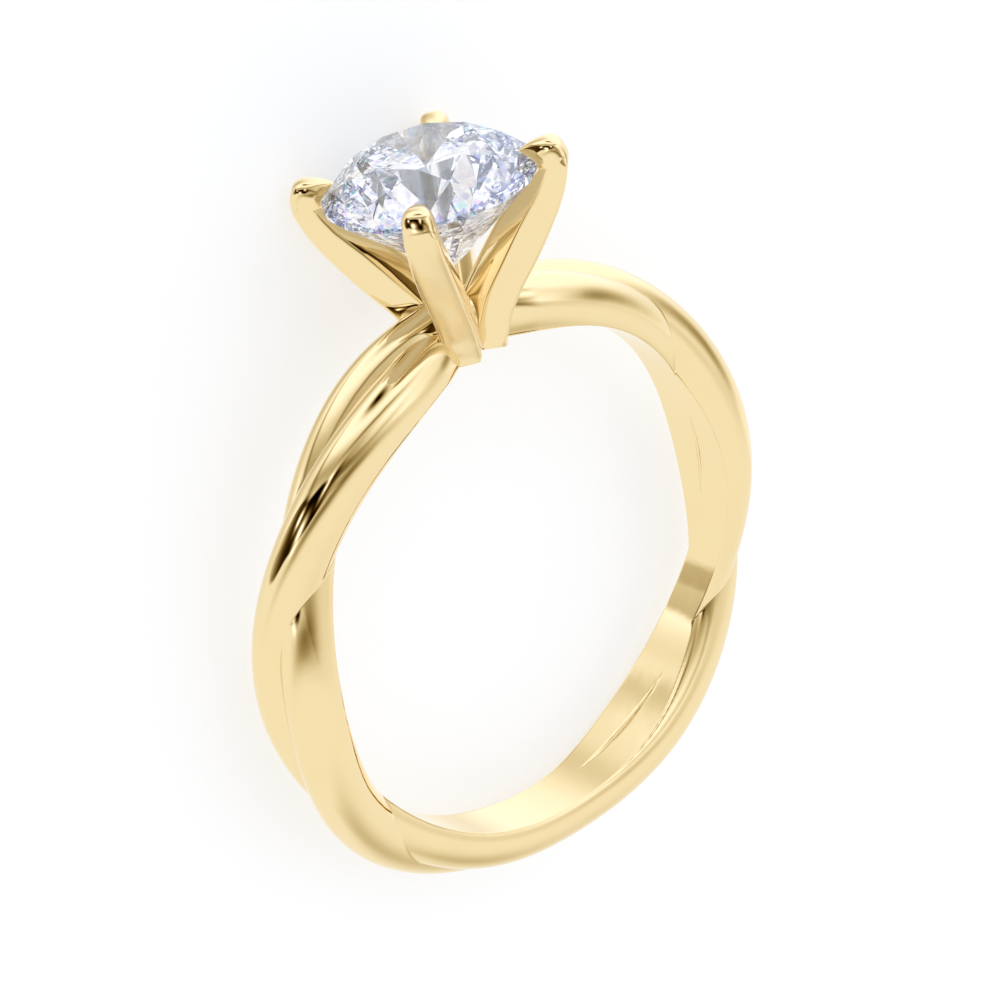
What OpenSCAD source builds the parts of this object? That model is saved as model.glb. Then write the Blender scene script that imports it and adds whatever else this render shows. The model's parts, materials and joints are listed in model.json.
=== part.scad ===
// Solitaire ring with a shank of two strands twisted round each other, four claws and a round brilliant.
// It is described upright: x across the ring, y along the finger, z from the finger up to the head.
// It is then laid on its side as it rests by itself, on two claws and on the edge of its shank.

/* [Finger hole] */
// Diameter of the finger hole
finger_d = 17; // [15:0.25:20]

/* [Shank] */
// Height above the finger hole of the line that the two strands wind round
wind_h = 0.7; // [0.6:0.05:0.8]
// How far the winding carries a strand outwards and inwards
wind_rise = 0.26; // [0.15:0.01:0.35]
// How far the winding carries a strand to each side
wind_side = 0.63; // [0.5:0.01:0.7]
// Thickness of a strand before the finger hole cuts it flat
strand_h = 1.98; // [1.7:0.02:2.2]
// Width of a strand along the finger
strand_w = 1.6; // [1.5:0.02:1.8]
// How much narrower the strands are where the head stands on them, in percent
pinch_pct = 26; // [0:1:30]

/* [Stone] */
// Diameter of the stone at its girdle
stone_d = 6.5; // [5.5:0.1:7.5]
// Thickness of the girdle where the main facets meet it
girdle_h = 0.2; // [0.16:0.01:0.3]
// Slope of the main facets of the crown in degrees
crown_angle = 36; // [33:0.5:37]
// Slope of the main facets of the pavilion in degrees
pavilion_angle = 40.75; // [40:0.25:42]
// Width of the table in percent of the stone
table_pct = 55; // [53:1:62]
// Length of the star facets in percent of the way from the table to the girdle
star_pct = 50; // [45:1:60]
// Length of the lower halves in percent of the way from the girdle to the point
lower_half_pct = 77; // [70:1:85]

/* [Head] */
// Height of the underside of the girdle above the finger hole
girdle_z = 5.4; // [5:0.1:7]
// How far a prong stands out beyond the stone at the girdle
claw_reach = 0.95; // [0.7:0.05:1.1]
// How far a claw reaches in over the stone
claw_in = 0.5; // [0.35:0.05:0.7]
// Height of a claw above the crown
claw_h = 0.72; // [0.6:0.01:0.9]
// Width of a prong where it is widest
prong_w = 1.15; // [1:0.01:1.3]
// Depth of a prong where it is deepest, measured level
prong_t = 2; // [1.8:0.05:2.2]
// How far the foot of a prong stands out from the middle of the head
foot_reach = 1.45; // [1.3:0.05:1.6]
// Gap between the stone and the metal that holds it
seat_gap = 0.04; // [0.03:0.01:0.08]

/* [Hidden] */
gold = [0.98, 0.88, 0.66];
clear_white = [0.88, 0.92, 0.98];
finger_r = finger_d / 2;
wind_r = finger_r + wind_h;
stone_r = stone_d / 2;
girdle_low = finger_r + girdle_z;
girdle_top = girdle_low + girdle_h;

// The winding, every 30 degrees round the ring.
// Columns: angle round the ring from the head, angle of the first strand about the winding's line
// (0 outside, 90 at the near face, 180 inside, 270 at the far face). The second strand lies opposite.
TWIST = [
    [0, 15], [30, 125], [60, 190], [90, 270], [120, 355], [150, 425],
    [180, 488], [210, 500], [240, 550], [270, 637], [300, 722], [330, 805]
];
twist_total = 900;
twist_step = 360 / len(TWIST);

// One prong, from below its foot up to the girdle.
// Columns: share of the height up to the girdle, share of the reach from the foot's to the claw's,
// share of the depth, share of the width.
PRONG = [
    [-0.10, -0.09, 0.70, 0.60], [-0.01, -0.07, 0.73, 0.78], [0.03, -0.06, 0.74, 0.92],
    [0.10, 0.00, 0.80, 0.96], [0.17, 0.05, 0.86, 0.97], [0.25, 0.14, 0.92, 0.98],
    [0.34, 0.25, 0.97, 0.99], [0.51, 0.495, 1.00, 1.00], [0.70, 0.735, 0.95, 0.98],
    [0.80, 0.845, 0.86, 0.95], [0.90, 0.93, 0.72, 0.90], [1.00, 0.985, 0.60, 0.87]
];

// Its claw, from the girdle to the tip.
// Columns: share of the way from the prong's outside to the tip, share of the height above the crown,
// share of the inward reach at the underside, share of the width.
CLAW = [
    [-0.005, 0.04, 0.34, 0.88], [0.012, 0.22, 0.37, 0.87], [0.09, 0.62, 0.42, 0.83],
    [0.17, 0.83, 0.45, 0.78], [0.35, 0.937, 0.50, 0.68], [0.58, 0.88, 0.62, 0.50],
    [0.80, 0.53, 0.82, 0.30], [1.00, 0.04, 1.00, 0.10]
];
// How deep the underside of a claw is laid into the stone's place before the seat is cut, as a share
claw_sink = 0.22;

// Half the outline of a section, from the middle of its outer side to the middle of its inner side.
// Columns: share of the depth and share of half the width, first for a prong and then for a claw.
SECTION = [
    [0, 0, 0, 0], [0.01, 0.70, 0.015, 0.45], [0.04, 0.96, 0.08, 0.80], [0.14, 1.00, 0.30, 1.00],
    [0.56, 0.97, 0.70, 0.95], [0.97, 0.34, 0.95, 0.50], [1, 0, 1, 0]
];

strand_sides = 16;
// Widest step between the rings of the strands, and the turn of their outline that adds a ring
ring_step = 6;
ring_turn = 18;
prong_sides = 2 * (len(SECTION) - 1);
prong_turns = [45, 135, 225, 315];
girdle_sides = 64;
mains = 8;
hole_sides = 180;
hole_len = 2 * (wind_side + strand_w + foot_reach);

// Winding angle at knot i of the table, also beyond its ends
function knot(i) =
    let (n = len(TWIST), turn = floor(i / n))
    TWIST[i - n * turn][1] + twist_total * turn;

// Winding angle of the first strand at a ring angle, a smooth curve through the table
function wind(phi) =
    let (
        i = floor(phi / twist_step),
        t = phi / twist_step - i,
        a = knot(i),
        b = knot(i + 1),
        slope_a = (b - knot(i - 1)) / 2,
        slope_b = (knot(i + 2) - a) / 2
    )
    (2 * pow(t, 3) - 3 * pow(t, 2) + 1) * a
    + (pow(t, 3) - 2 * pow(t, 2) + t) * slope_a
    + (3 * pow(t, 2) - 2 * pow(t, 3)) * b
    + (pow(t, 3) - pow(t, 2)) * slope_b;

// Point at a ring angle, a distance from the finger's axis and a place along the finger
function round_ring(phi, r, y) = [-r * sin(phi), y, r * cos(phi)];

// 1 under the middle of the head, falling to 0 just beyond its foot
function near_head(phi) =
    let (off = min(phi, 360 - phi), span = 2 * asin(foot_reach * sin(45) / wind_r))
    off < span ? pow(cos(90 * off / span), 2) : 0;

// Outline of both strands at a ring angle, from one crease over the first strand to the other crease
// and back over the second. Each strand is an ellipse, worked out here as a unit circle.
function strand_outline(phi) =
    let (
        psi = wind(phi),
        narrow = 1 - pinch_pct / 100 * near_head(phi),
        cr = wind_rise * cos(psi) / (strand_h / 2),
        cy = wind_side * sin(psi) / (strand_w / 2),
        away = norm([cr, cy]),
        towards = atan2(cy, cr),
        half = 90 + asin(away),
        m = strand_sides / 2
    )
    [for (side = [1, -1], j = [0:m - 1])
        let (
            g = towards + half * (2 * j / m - 1),
            r = side * (cr + cos(g)) * strand_h / 2,
            y = side * (cy + sin(g)) * strand_w / 2 * narrow
        )
        round_ring(phi, wind_r + r, y)
    ];

// How fast the line between the strands' middles turns at a ring angle, in degrees per degree
function winding_rate(phi) =
    let (
        psi = wind(phi),
        lean = (wind_side / strand_w) / (wind_rise / strand_h)
    )
    abs(wind(phi + 1) - wind(phi - 1)) / 2 * lean / (pow(cos(psi), 2) + pow(lean * sin(psi), 2));

// Ring angles of the rings, closer together where the strands cross
ring_angles = [
    for (phi = 0; phi < 360 - ring_step / 4; phi = phi + 1 / (1 / ring_step + winding_rate(phi) / ring_turn)) phi
];
strand_rings = len(ring_angles);
strand_pts = [for (phi = ring_angles) each strand_outline(phi)];

// Index of side j of ring k. After one turn round the ring the strands have changed places.
function strand_at(k, j) =
    let (
        turns = floor(k / strand_rings),
        side = (j + turns * strand_sides / 2) % strand_sides
    )
    (k - turns * strand_rings) * strand_sides + side;

module strands() {
    polyhedron(strand_pts, [
        for (k = [0:strand_rings - 1], j = [0:strand_sides - 1])
        each [
            [strand_at(k, j), strand_at(k + 1, j), strand_at(k, j + 1)],
            [strand_at(k + 1, j), strand_at(k + 1, j + 1), strand_at(k, j + 1)]
        ]
    ], convexity = 8);
}

// Height of the crown's main facets at a reach from the middle of the stone
function crown_z(reach) = girdle_top + max(0, stone_r - reach) * tan(crown_angle);

// Section of a prong in its own plane: outer point, inner point, width, and 1 for a claw
function prong_section(row) =
    let (
        reach = foot_reach + row[1] * (stone_r + claw_reach - foot_reach),
        z = finger_r + row[0] * girdle_z
    )
    [[reach, z], [reach - row[2] * prong_t, z], row[3] * prong_w, 0];

function claw_section(row) =
    let (
        reach = stone_r + claw_reach - row[0] * (claw_reach + claw_in),
        under = stone_r - row[2] * claw_in
    )
    [
        [reach, crown_z(reach) + row[1] * claw_h],
        [under, crown_z(under) - claw_sink * claw_h],
        row[3] * prong_w,
        1
    ];

prong_sections = concat([for (row = PRONG) prong_section(row)], [for (row = CLAW) claw_section(row)]);

function section_outline(s) =
    [for (j = [0:prong_sides - 1])
        let (
            side = j < prong_sides / 2 ? 1 : -1,
            row = SECTION[side > 0 ? j : prong_sides - j],
            p = s[0] + (s[1] - s[0]) * row[2 * s[3]]
        )
        [p[0], side * s[2] / 2 * row[2 * s[3] + 1], p[1]]
    ];

prong_pts = [for (s = prong_sections) each section_outline(s)];

module prong() {
    last = len(prong_sections) - 1;
    n = prong_sides;
    polyhedron(prong_pts, concat(
        [[for (j = [0:n - 1]) j]],
        [for (k = [0:last - 1], j = [0:n - 1])
            let (a = k * n + j, b = k * n + (j + 1) % n)
            each [[a, a + n, b + n], [a, b + n, b]]
        ],
        [[for (j = [n - 1:-1:0]) last * n + j]]
    ), convexity = 6);
}

module head() {
    for (turn = prong_turns) {
        rotate([0, 0, turn]) prong();
    }
}

function polar(r, a, z) = [r * cos(a), r * sin(a), z];

// Height, at the girdle's own radius, of the half facet that passes through the inner point p and
// through the girdle at the ends of its sector, at an angle off from the sector's middle
function scallop(r, z, p_r, p_z, p_off, off) =
    let (
        sector = 180 / mains,
        chord = r * cos(sector / 2),
        slope = (p_z - z) / (chord - p_r * cos(p_off))
    )
    z - slope * (r * cos(off) - chord);

// Points of a round brilliant of radius r with its girdle between two heights: table corners, outer
// points of the stars, girdle from above, girdle from below, inner points of the lower halves, point
function brilliant(r, low, top) =
    let (
        sector = 180 / mains,
        table_r = r * table_pct / 100,
        flat_r = table_r * cos(sector),
        star_r = flat_r + (r - flat_r) * star_pct / 100,
        star_z = top + (r - star_r * cos(sector)) * tan(crown_angle),
        half_r = r * (1 - lower_half_pct / 100),
        half_z = low - (r - half_r * cos(sector)) * tan(pavilion_angle),
        step = 360 / girdle_sides,
        off = function (j) let (a = j * step) a - sector * floor(a / sector) - sector / 2
    )
    concat(
        [for (i = [0:mains - 1]) polar(table_r, 2 * sector * i, top + (r - table_r) * tan(crown_angle))],
        [for (i = [0:mains - 1]) polar(star_r, 2 * sector * (i + 0.5), star_z)],
        [for (j = [0:girdle_sides - 1])
            polar(r, j * step, scallop(r, top, star_r, star_z, sector / 2, off(j)))],
        [for (j = [0:girdle_sides - 1])
            polar(r, j * step, scallop(r, low, half_r, half_z, sector / 2, off(j)))],
        [for (i = [0:mains - 1]) polar(half_r, 2 * sector * (i + 0.5), half_z)],
        [[0, 0, low - r * tan(pavilion_angle)]]
    );

module cut_stone(points) {
    m = mains;
    g = girdle_sides;
    part = g / m;
    star = m;
    upper = 2 * m;
    lower = upper + g;
    inner = lower + g;
    point = inner + m;
    polyhedron(points, concat(
        [[for (i = [m - 1:-1:0]) i]],
        [for (i = [0:m - 1]) [i, (i + 1) % m, star + i]],
        [for (i = [0:m - 1]) [i, star + i, upper + part * i, star + (i + m - 1) % m]],
        [for (i = [0:m - 1], h = [0, 1])
            [star + i, for (j = [part / 2:-1:0]) upper + (part * i + part / 2 * h + j) % g]],
        [for (j = [0:g - 1]) [upper + j, upper + (j + 1) % g, lower + (j + 1) % g, lower + j]],
        [for (i = [0:m - 1], h = [0, 1])
            [inner + i, for (j = [0:part / 2]) lower + (part * i + part / 2 * h + j) % g]],
        [for (i = [0:m - 1]) [inner + i, point, inner + (i + m - 1) % m, lower + part * i]]
    ), convexity = 4);
}

stone_pts = brilliant(stone_r, girdle_low, girdle_top);

module finger_hole() {
    rotate([90, 0, 0]) cylinder(r = finger_r, h = hole_len, center = true, $fn = hole_sides);
}

// Room for the stone, the gap wider than it all round
module seat() {
    cut_stone(brilliant(stone_r + seat_gap, girdle_low - seat_gap, girdle_top + seat_gap));
}

head_pts = [for (turn = prong_turns, p = prong_pts)
    [p[0] * cos(turn) - p[1] * sin(turn), p[0] * sin(turn) + p[1] * cos(turn), p[2]]];

// Height of a point over the floor, once the ring lies on its side and is tipped by t
function laid_z(p, t) = p[1] * cos(t) - p[2] * sin(t);
function laid_y(p, t) = -p[2] * cos(t) - p[1] * sin(t);

function lowest(pts, t) =
    let (h = [for (p = pts) laid_z(p, t)], low = min(h))
    pts[[for (i = [0:len(h) - 1]) if (h[i] == low) i][0]];

// Tip at which the claws, or the stone if it is lower, and the shank touch the floor together
function rest_tip(t, tries) =
    let (c = lowest(concat(head_pts, stone_pts), t), s = lowest(strand_pts, t))
    tries == 0 ? t : rest_tip(atan((c[1] - s[1]) / (c[2] - s[2])), tries - 1);

tip = rest_tip(0, 5);
outer_pts = concat(strand_pts, head_pts, stone_pts);
outer_x = [for (p = outer_pts) p[0]];
outer_y = [for (p = outer_pts) laid_y(p, tip)];
outer_z = [for (p = outer_pts) laid_z(p, tip)];

// Lays the ring down, its floor at 0 and its middle over the origin
module laid() {
    translate([-(min(outer_x) + max(outer_x)) / 2, -(min(outer_y) + max(outer_y)) / 2, -min(outer_z)])
    rotate([90 + tip, 0, 0])
    children();
}

module mounting() {
    color(gold)
    laid()
    difference() {
        union() {
            strands();
            head();
        }
        finger_hole();
        seat();
    }
}

module centre_stone() {
    color(clear_white)
    laid()
    cut_stone(stone_pts);
}

mounting();
centre_stone();
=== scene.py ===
"""Looks of a solitaire ring: two polished gold strands twisted into a shank, four claws and a round brilliant.

Sizes are in millimetres in the upright ring: x across the ring, y along the finger, z from the finger up to the
head. Each finished piece is then laid down in the row frame, in metres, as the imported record's finger mount says.
"""

import json
import logging
import math
from dataclasses import asdict, dataclass
from enum import Enum
from typing import TypeVar

import bpy
import numpy as np
from mathutils import Matrix, Vector

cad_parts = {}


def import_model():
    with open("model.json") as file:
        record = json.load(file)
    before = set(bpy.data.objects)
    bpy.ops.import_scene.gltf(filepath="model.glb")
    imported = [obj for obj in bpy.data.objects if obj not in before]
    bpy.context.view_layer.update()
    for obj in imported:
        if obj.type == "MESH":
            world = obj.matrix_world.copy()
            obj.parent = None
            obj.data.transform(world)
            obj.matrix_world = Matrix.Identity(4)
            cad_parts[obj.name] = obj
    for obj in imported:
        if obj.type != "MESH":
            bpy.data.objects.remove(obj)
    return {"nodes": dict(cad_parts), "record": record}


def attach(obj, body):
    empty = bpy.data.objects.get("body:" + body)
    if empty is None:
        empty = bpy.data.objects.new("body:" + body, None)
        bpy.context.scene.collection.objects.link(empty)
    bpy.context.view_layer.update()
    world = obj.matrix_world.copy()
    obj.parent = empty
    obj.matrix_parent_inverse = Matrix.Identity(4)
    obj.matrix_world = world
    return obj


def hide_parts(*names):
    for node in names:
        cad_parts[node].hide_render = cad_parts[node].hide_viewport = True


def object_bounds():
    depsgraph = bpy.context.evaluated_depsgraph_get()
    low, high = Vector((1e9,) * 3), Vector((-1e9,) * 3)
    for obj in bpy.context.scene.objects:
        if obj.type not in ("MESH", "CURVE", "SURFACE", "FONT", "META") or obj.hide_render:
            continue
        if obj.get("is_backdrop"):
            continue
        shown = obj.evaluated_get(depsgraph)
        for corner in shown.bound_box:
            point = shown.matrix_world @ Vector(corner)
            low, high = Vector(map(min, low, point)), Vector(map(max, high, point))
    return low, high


log = logging.getLogger("ring")

Colour = tuple[float, float, float]
Pair = tuple[float, float]
Row = tuple[float, ...]
Faces = list[tuple[int, ...]]
Inputs = dict[str | int, object]
Value = TypeVar("Value")

MM = 0.001
BLACK: Colour = (0.0, 0.0, 0.0)
WHITE: Colour = (1.0, 1.0, 1.0)

# Columns: angle round the ring from the head, angle of the first strand about the winding's line (0 outside, 90 at
# the near face, 180 inside, 270 at the far face). The second strand lies opposite.
TWIST: tuple[Row, ...] = (
    (0, 15), (30, 125), (60, 190), (90, 270), (120, 355), (150, 425),
    (180, 488), (210, 500), (240, 550), (270, 637), (300, 722), (330, 805),
)
TWIST_TOTAL = 900.0

# Columns: share of the height up to the girdle, share of the reach from the foot's to the claw's, share of the
# depth, share of the width.
PRONG: tuple[Row, ...] = (
    (-0.10, -0.09, 0.70, 0.60), (-0.01, -0.07, 0.73, 0.78), (0.03, -0.06, 0.74, 0.92),
    (0.10, 0.00, 0.80, 0.96), (0.17, 0.05, 0.86, 0.97), (0.25, 0.14, 0.92, 0.98),
    (0.34, 0.25, 0.97, 0.99), (0.51, 0.495, 1.00, 1.00), (0.70, 0.735, 0.95, 0.98),
    (0.80, 0.845, 0.86, 0.95), (0.90, 0.93, 0.72, 0.90), (1.00, 0.985, 0.60, 0.87),
)

# Columns: share of the way from the prong's outside to the tip, share of the height above the crown, share of the
# inward reach at the underside, share of the width.
CLAW: tuple[Row, ...] = (
    (-0.005, 0.04, 0.34, 0.88), (0.012, 0.22, 0.37, 0.87), (0.09, 0.62, 0.42, 0.83),
    (0.17, 0.83, 0.45, 0.78), (0.35, 0.937, 0.50, 0.68), (0.58, 0.88, 0.62, 0.50),
    (0.80, 0.53, 0.82, 0.30), (1.00, 0.04, 1.00, 0.10),
)

# Half the outline of a section, from the middle of its outer side to the middle of its inner side.
# Columns: share of the depth and share of half the width, first for a prong and then for a claw.
SECTION: tuple[Row, ...] = (
    (0, 0, 0, 0), (0.01, 0.70, 0.015, 0.45), (0.04, 0.96, 0.08, 0.80), (0.14, 1.00, 0.30, 1.00),
    (0.56, 0.97, 0.70, 0.95), (0.97, 0.34, 0.95, 0.50), (1, 0, 1, 0),
)

# The studio's dark gap under the soft light, which polished gold mirrors as a narrow dark band.
# Columns: angle to the camera's right, angle of the gap's middle above the camera, half the gap's height, how dark
# it is, and the light just above it.
GAP: tuple[Row, ...] = (
    (-100, 4, 1, 0.0, 1.0), (-80, 4, 12, 0.5, 1.31), (-60, 2, 16, 0.86, 0.9), (-40, -2, 13, 0.97, 1.05),
    (-20, -4, 13, 1.0, 0.8), (0, -7, 9, 1.0, 0.64), (10, -6, 7, 0.55, 0.46), (40, -9, 9, 0.31, 0.88),
    (65, -4, 14, 0.01, 1.17), (85, -3, 3, 0.0, 1.06),
)

# The studio's soft oval lamps and shades, with all angles in degrees.
# Columns: angle to the camera's right, angle above the camera, half length, half width, turn, and how much light it
# adds, or below 0 how much of the light a shade takes away.
CARDS: tuple[Row, ...] = (
    (-43, 3, 4, 6, 55, 1.65), (-4, 0, 4, 6, 14, 1.29), (-23, -11, 6, 8, 58, 1.51), (46, 14, 18, 6, 21, 0.25),
    (-20, 56, 24, 8, -15, -1.05), (103, 12, 10, 16, -49, -0.53), (5, 2, 6, 4, -5, -0.96),
    (19, -20, 44, 6, 9, -0.64), (-68, 29, 34, 4, -38, -0.48), (-39, 21, 42, 8, -10, -0.39),
    (122, -58, 40, 18, 11, -0.26), (-132, 45, 24, 30, 31, -0.44), (20, 22, 30, 4, 15, -0.58),
)


class Slot(Enum):
    """Material slots of the record."""

    GOLD = "gold"
    STONE = "stone"


@dataclass(frozen=True)
class RingSizes:
    """The ring's named sizes, in millimetres and degrees, the same as the solids'."""

    finger_r: float = 8.5
    wind_h: float = 0.7
    wind_rise: float = 0.26
    wind_side: float = 0.63
    strand_h: float = 1.98
    strand_w: float = 1.6
    pinch: float = 0.26
    stone_r: float = 3.25
    girdle_h: float = 0.2
    crown_angle: float = 36.0
    pavilion_angle: float = 40.75
    table: float = 0.55
    star: float = 0.50
    lower_half: float = 0.77
    girdle_z: float = 5.4
    claw_reach: float = 0.95
    claw_in: float = 0.5
    claw_h: float = 0.72
    prong_w: float = 1.15
    prong_t: float = 2.0
    foot_reach: float = 1.45
    seat_gap: float = 0.04
    claw_sink: float = 0.22

    @property
    def girdle_low(self) -> float:
        """Height of the girdle's underside over the finger's axis."""
        return self.finger_r + self.girdle_z

    @property
    def girdle_top(self) -> float:
        """Height of the girdle's upper side over the finger's axis."""
        return self.girdle_low + self.girdle_h

    def crown_z(self, reach: float) -> float:
        """Height of the crown's main facets at a reach from the middle of the stone."""
        return self.girdle_top + max(0.0, self.stone_r - reach) * math.tan(math.radians(self.crown_angle))


@dataclass(frozen=True)
class Lay:
    """How the upright ring lies in the row frame: where the middle of the finger hole is and which way it runs."""

    middle: Vector
    finger: Vector

    @classmethod
    def from_record(cls, record: dict) -> "Lay":
        """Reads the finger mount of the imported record."""
        mount = next(m for m in record["mounts"] if m["name"] == "finger")
        return cls(Vector(mount["pos_m"]), Vector(mount["axis"]).normalized())

    def matrix(self) -> Matrix:
        """Turns upright millimetres into the row frame's metres."""
        across = Vector((1.0, 0.0, 0.0))
        turn = Matrix((across, self.finger, across.cross(self.finger))).transposed().to_4x4()
        return Matrix.Translation(self.middle) @ turn @ Matrix.Scale(MM, 4)


# --------------------------------------------------------------------------------------------------------------
# Node trees


class Term:
    """What a node puts out. Its numbers add and multiply as plain ones do, so that a rule reads as a formula."""

    def __init__(self, sheet: "NodeSheet", socket: bpy.types.NodeSocket) -> None:
        """Holds the sheet that the node is on and its output socket."""
        self.sheet = sheet
        self.socket = socket

    def math(self, operation: str, *others: object, clamp: bool = False) -> "Term":
        """Adds one Math node, by Blender's name of its operation, that starts from this number."""
        values = dict(enumerate((self, *others)))
        return self.sheet.read("ShaderNodeMath", values, operation=operation, use_clamp=clamp)

    def __add__(self, other: "Term | float") -> "Term":
        """Sum of two numbers."""
        return self.math("ADD", other)

    def __sub__(self, other: "Term | float") -> "Term":
        """Difference of two numbers."""
        return self.math("SUBTRACT", other)

    def __mul__(self, other: "Term | float") -> "Term":
        """Product of two numbers."""
        return self.math("MULTIPLY", other)

    def __truediv__(self, other: "Term | float") -> "Term":
        """Quotient of two numbers."""
        return self.math("DIVIDE", other)

    def __neg__(self) -> "Term":
        """This number with its sign changed."""
        return self.math("MULTIPLY", -1.0)


class NodeSheet:
    """A node tree, with short ways to add its nodes and to join them."""

    def __init__(self, tree: bpy.types.NodeTree) -> None:
        """Holds the tree that the nodes go into."""
        self.tree = tree

    def socket(self, name: str, way: str, kind: str) -> bpy.types.NodeTreeInterfaceSocket:
        """Adds a socket to the tree's own interface."""
        return self.tree.interface.new_socket(name, in_out=way, socket_type=kind)

    def join(self, value: object, socket: bpy.types.NodeSocket) -> None:
        """Links what a node puts out to an input socket, or sets a plain value on it.

        Args:
            value: A term, an output socket or a plain value, where a colour has no alpha yet.
            socket: The input socket.
        """
        source = value.socket if isinstance(value, Term) else value
        if isinstance(source, bpy.types.NodeSocket):
            self.tree.links.new(source, socket)
        elif socket.type == "RGBA":
            socket.default_value = (*source, 1.0)
        else:
            socket.default_value = source

    def add(self, kind: str, values: Inputs | None = None, **settings: object) -> bpy.types.Node:
        """Adds a node.

        Args:
            kind: Blender's name of the node.
            values: What goes into its input sockets, by their names or places.
            settings: The node's own choices.

        Returns:
            The node.
        """
        node = self.tree.nodes.new(kind)
        for name, value in settings.items():
            setattr(node, name, value)
        for name, value in (values or {}).items():
            self.join(value, node.inputs[name])
        return node

    def read(self, kind: str, values: Inputs | None = None, output: str | int = 0, **settings: object) -> Term:
        """Adds a node as add does, and gives what one of its output sockets puts out."""
        return Term(self, self.add(kind, values, **settings).outputs[output])

    def ramp(self, value: Term, span: Pair, ends: tuple[object, object] = (0.0, 1.0)) -> Term:
        """Goes from one end to the other as a value goes through a span, and stays level beyond it."""
        names = ("Value", "From Min", "From Max", "To Min", "To Max")
        return self.read("ShaderNodeMapRange", dict(zip(names, (value, *span, *ends))))


class ShaderSheet(NodeSheet):
    """The node tree of a new material."""

    def __init__(self, name: str) -> None:
        """Makes the material, still empty."""
        self.material = bpy.data.materials.new(name)
        self.material.use_nodes = True
        self.material.node_tree.nodes.clear()
        super().__init__(self.material.node_tree)

    def mix(self, share: object, low: object, high: object) -> Term:
        """Mixes two colours, each worked out or plain, by a share from 0 to 1."""
        return self.read("ShaderNodeMix", {0: share, 6: low, 7: high}, 2, data_type="RGBA")

    def mirrored_ray(self) -> Term:
        """Puts out 1 for what is seen mirrored in metal, and 0 for what is seen directly or through the stone."""
        ray = self.add("ShaderNodeLightPath").outputs
        return Term(self, ray["Is Glossy Ray"]).math("SUBTRACT", ray["Is Transmission Ray"], clamp=True)

    def finish(self, shader: str, values: Inputs) -> bpy.types.Material:
        """Ends the material with its one shader, by Blender's name of it, and gives the material."""
        self.add("ShaderNodeOutputMaterial", {0: self.read(shader, values)})
        return self.material


class GeometryRule(NodeSheet):
    """A Geometry Nodes tree with named inputs, which is run once and leaves a plain mesh."""

    def __init__(self, name: str) -> None:
        """Makes the tree with its geometry input and output.

        Args:
            name: What the tree makes.
        """
        super().__init__(bpy.data.node_groups.new(name, "GeometryNodeTree"))
        self.values: dict[str, object] = {}
        for way in ("INPUT", "OUTPUT"):
            self.socket("Geometry", way, "NodeSocketGeometry")
        self.start = self.add("NodeGroupInput")

    def size(self, name: str, value: object, kind: str = "NodeSocketFloat") -> Term:
        """Adds a named input of a kind of socket, with its value, and gives it inside the tree."""
        self.values[self.socket(name, "INPUT", kind).identifier] = value
        return Term(self, self.start.outputs[name])

    def finish(self, geometry: Term, crease: float, material: bpy.types.Material) -> None:
        """Ends the tree: faces smooth, creases sharp, instances made real, material set.

        Args:
            geometry: What the tree has made.
            crease: Angle in degrees between two faces from which their edge stays sharp.
            material: The material of all its faces.
        """
        angle = self.read("GeometryNodeInputMeshEdgeAngle", output="Unsigned Angle")
        sharp = angle.math("GREATER_THAN", math.radians(crease))
        faces = self.read("GeometryNodeSetShadeSmooth", {0: geometry}, domain="FACE")
        values = {0: faces, "Selection": sharp, "Shade Smooth": False}
        edges = self.read("GeometryNodeSetShadeSmooth", values, domain="EDGE")
        real = self.read("GeometryNodeRealizeInstances", {0: edges})
        finish = self.size("Finish", material, "NodeSocketMaterial")
        dressed = self.read("GeometryNodeSetMaterial", {0: real, "Material": finish})
        self.add("NodeGroupOutput", {0: dressed})

    def run(self, start: bpy.types.Mesh, name: str) -> bpy.types.Mesh:
        """Runs the tree on a mesh.

        Args:
            start: The mesh that goes in.
            name: Name of the mesh that comes out.

        Returns:
            The result as a plain mesh.
        """
        carrier = put(name + "_start", start)
        modifier = carrier.modifiers.new("rule", "NODES")
        modifier.node_group = self.tree
        for identifier, value in self.values.items():
            modifier[identifier] = value
        evaluated = carrier.evaluated_get(bpy.context.evaluated_depsgraph_get())
        made = bpy.data.meshes.new_from_object(evaluated)
        made.name = name
        carrier.modifiers.remove(modifier)
        bpy.data.objects.remove(carrier)
        return made


# --------------------------------------------------------------------------------------------------------------
# Curves and meshes


def lerp(a: Term, b: Term, share: Term) -> Term:
    """Value part of the way from one number to another."""
    return a + (b - a) * share


def curve_between(t: object, a: Value, b: Value, slope_a: Value, slope_b: Value) -> Value:
    """Reads a smooth curve between two of its knots, in plain numbers, arrays or terms.

    Args:
        t: Share of the way from the first knot to the second.
        a: Value at the first knot.
        b: Value at the second knot.
        slope_a: Slope at the first knot, for the whole way.
        slope_b: Slope at the second knot, for the whole way.

    Returns:
        The curve's value.
    """
    t2 = t * t
    t3 = t2 * t
    return a + (b - a) * (t2 * 3.0 - t3 * 2.0) + slope_a * (t3 - t2 * 2.0 + t) + slope_b * (t3 - t2)


def mesh_of(name: str, points: np.ndarray, faces: Faces) -> bpy.types.Mesh:
    """Makes a mesh from points and faces.

    Args:
        name: Name of the mesh.
        points: One row of x, y and z for each point.
        faces: Point numbers of each face.

    Returns:
        The mesh.
    """
    mesh = bpy.data.meshes.new(name)
    mesh.from_pydata([tuple(map(float, p)) for p in points], [], faces)
    mesh.validate()
    mesh.update()
    return mesh


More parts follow.
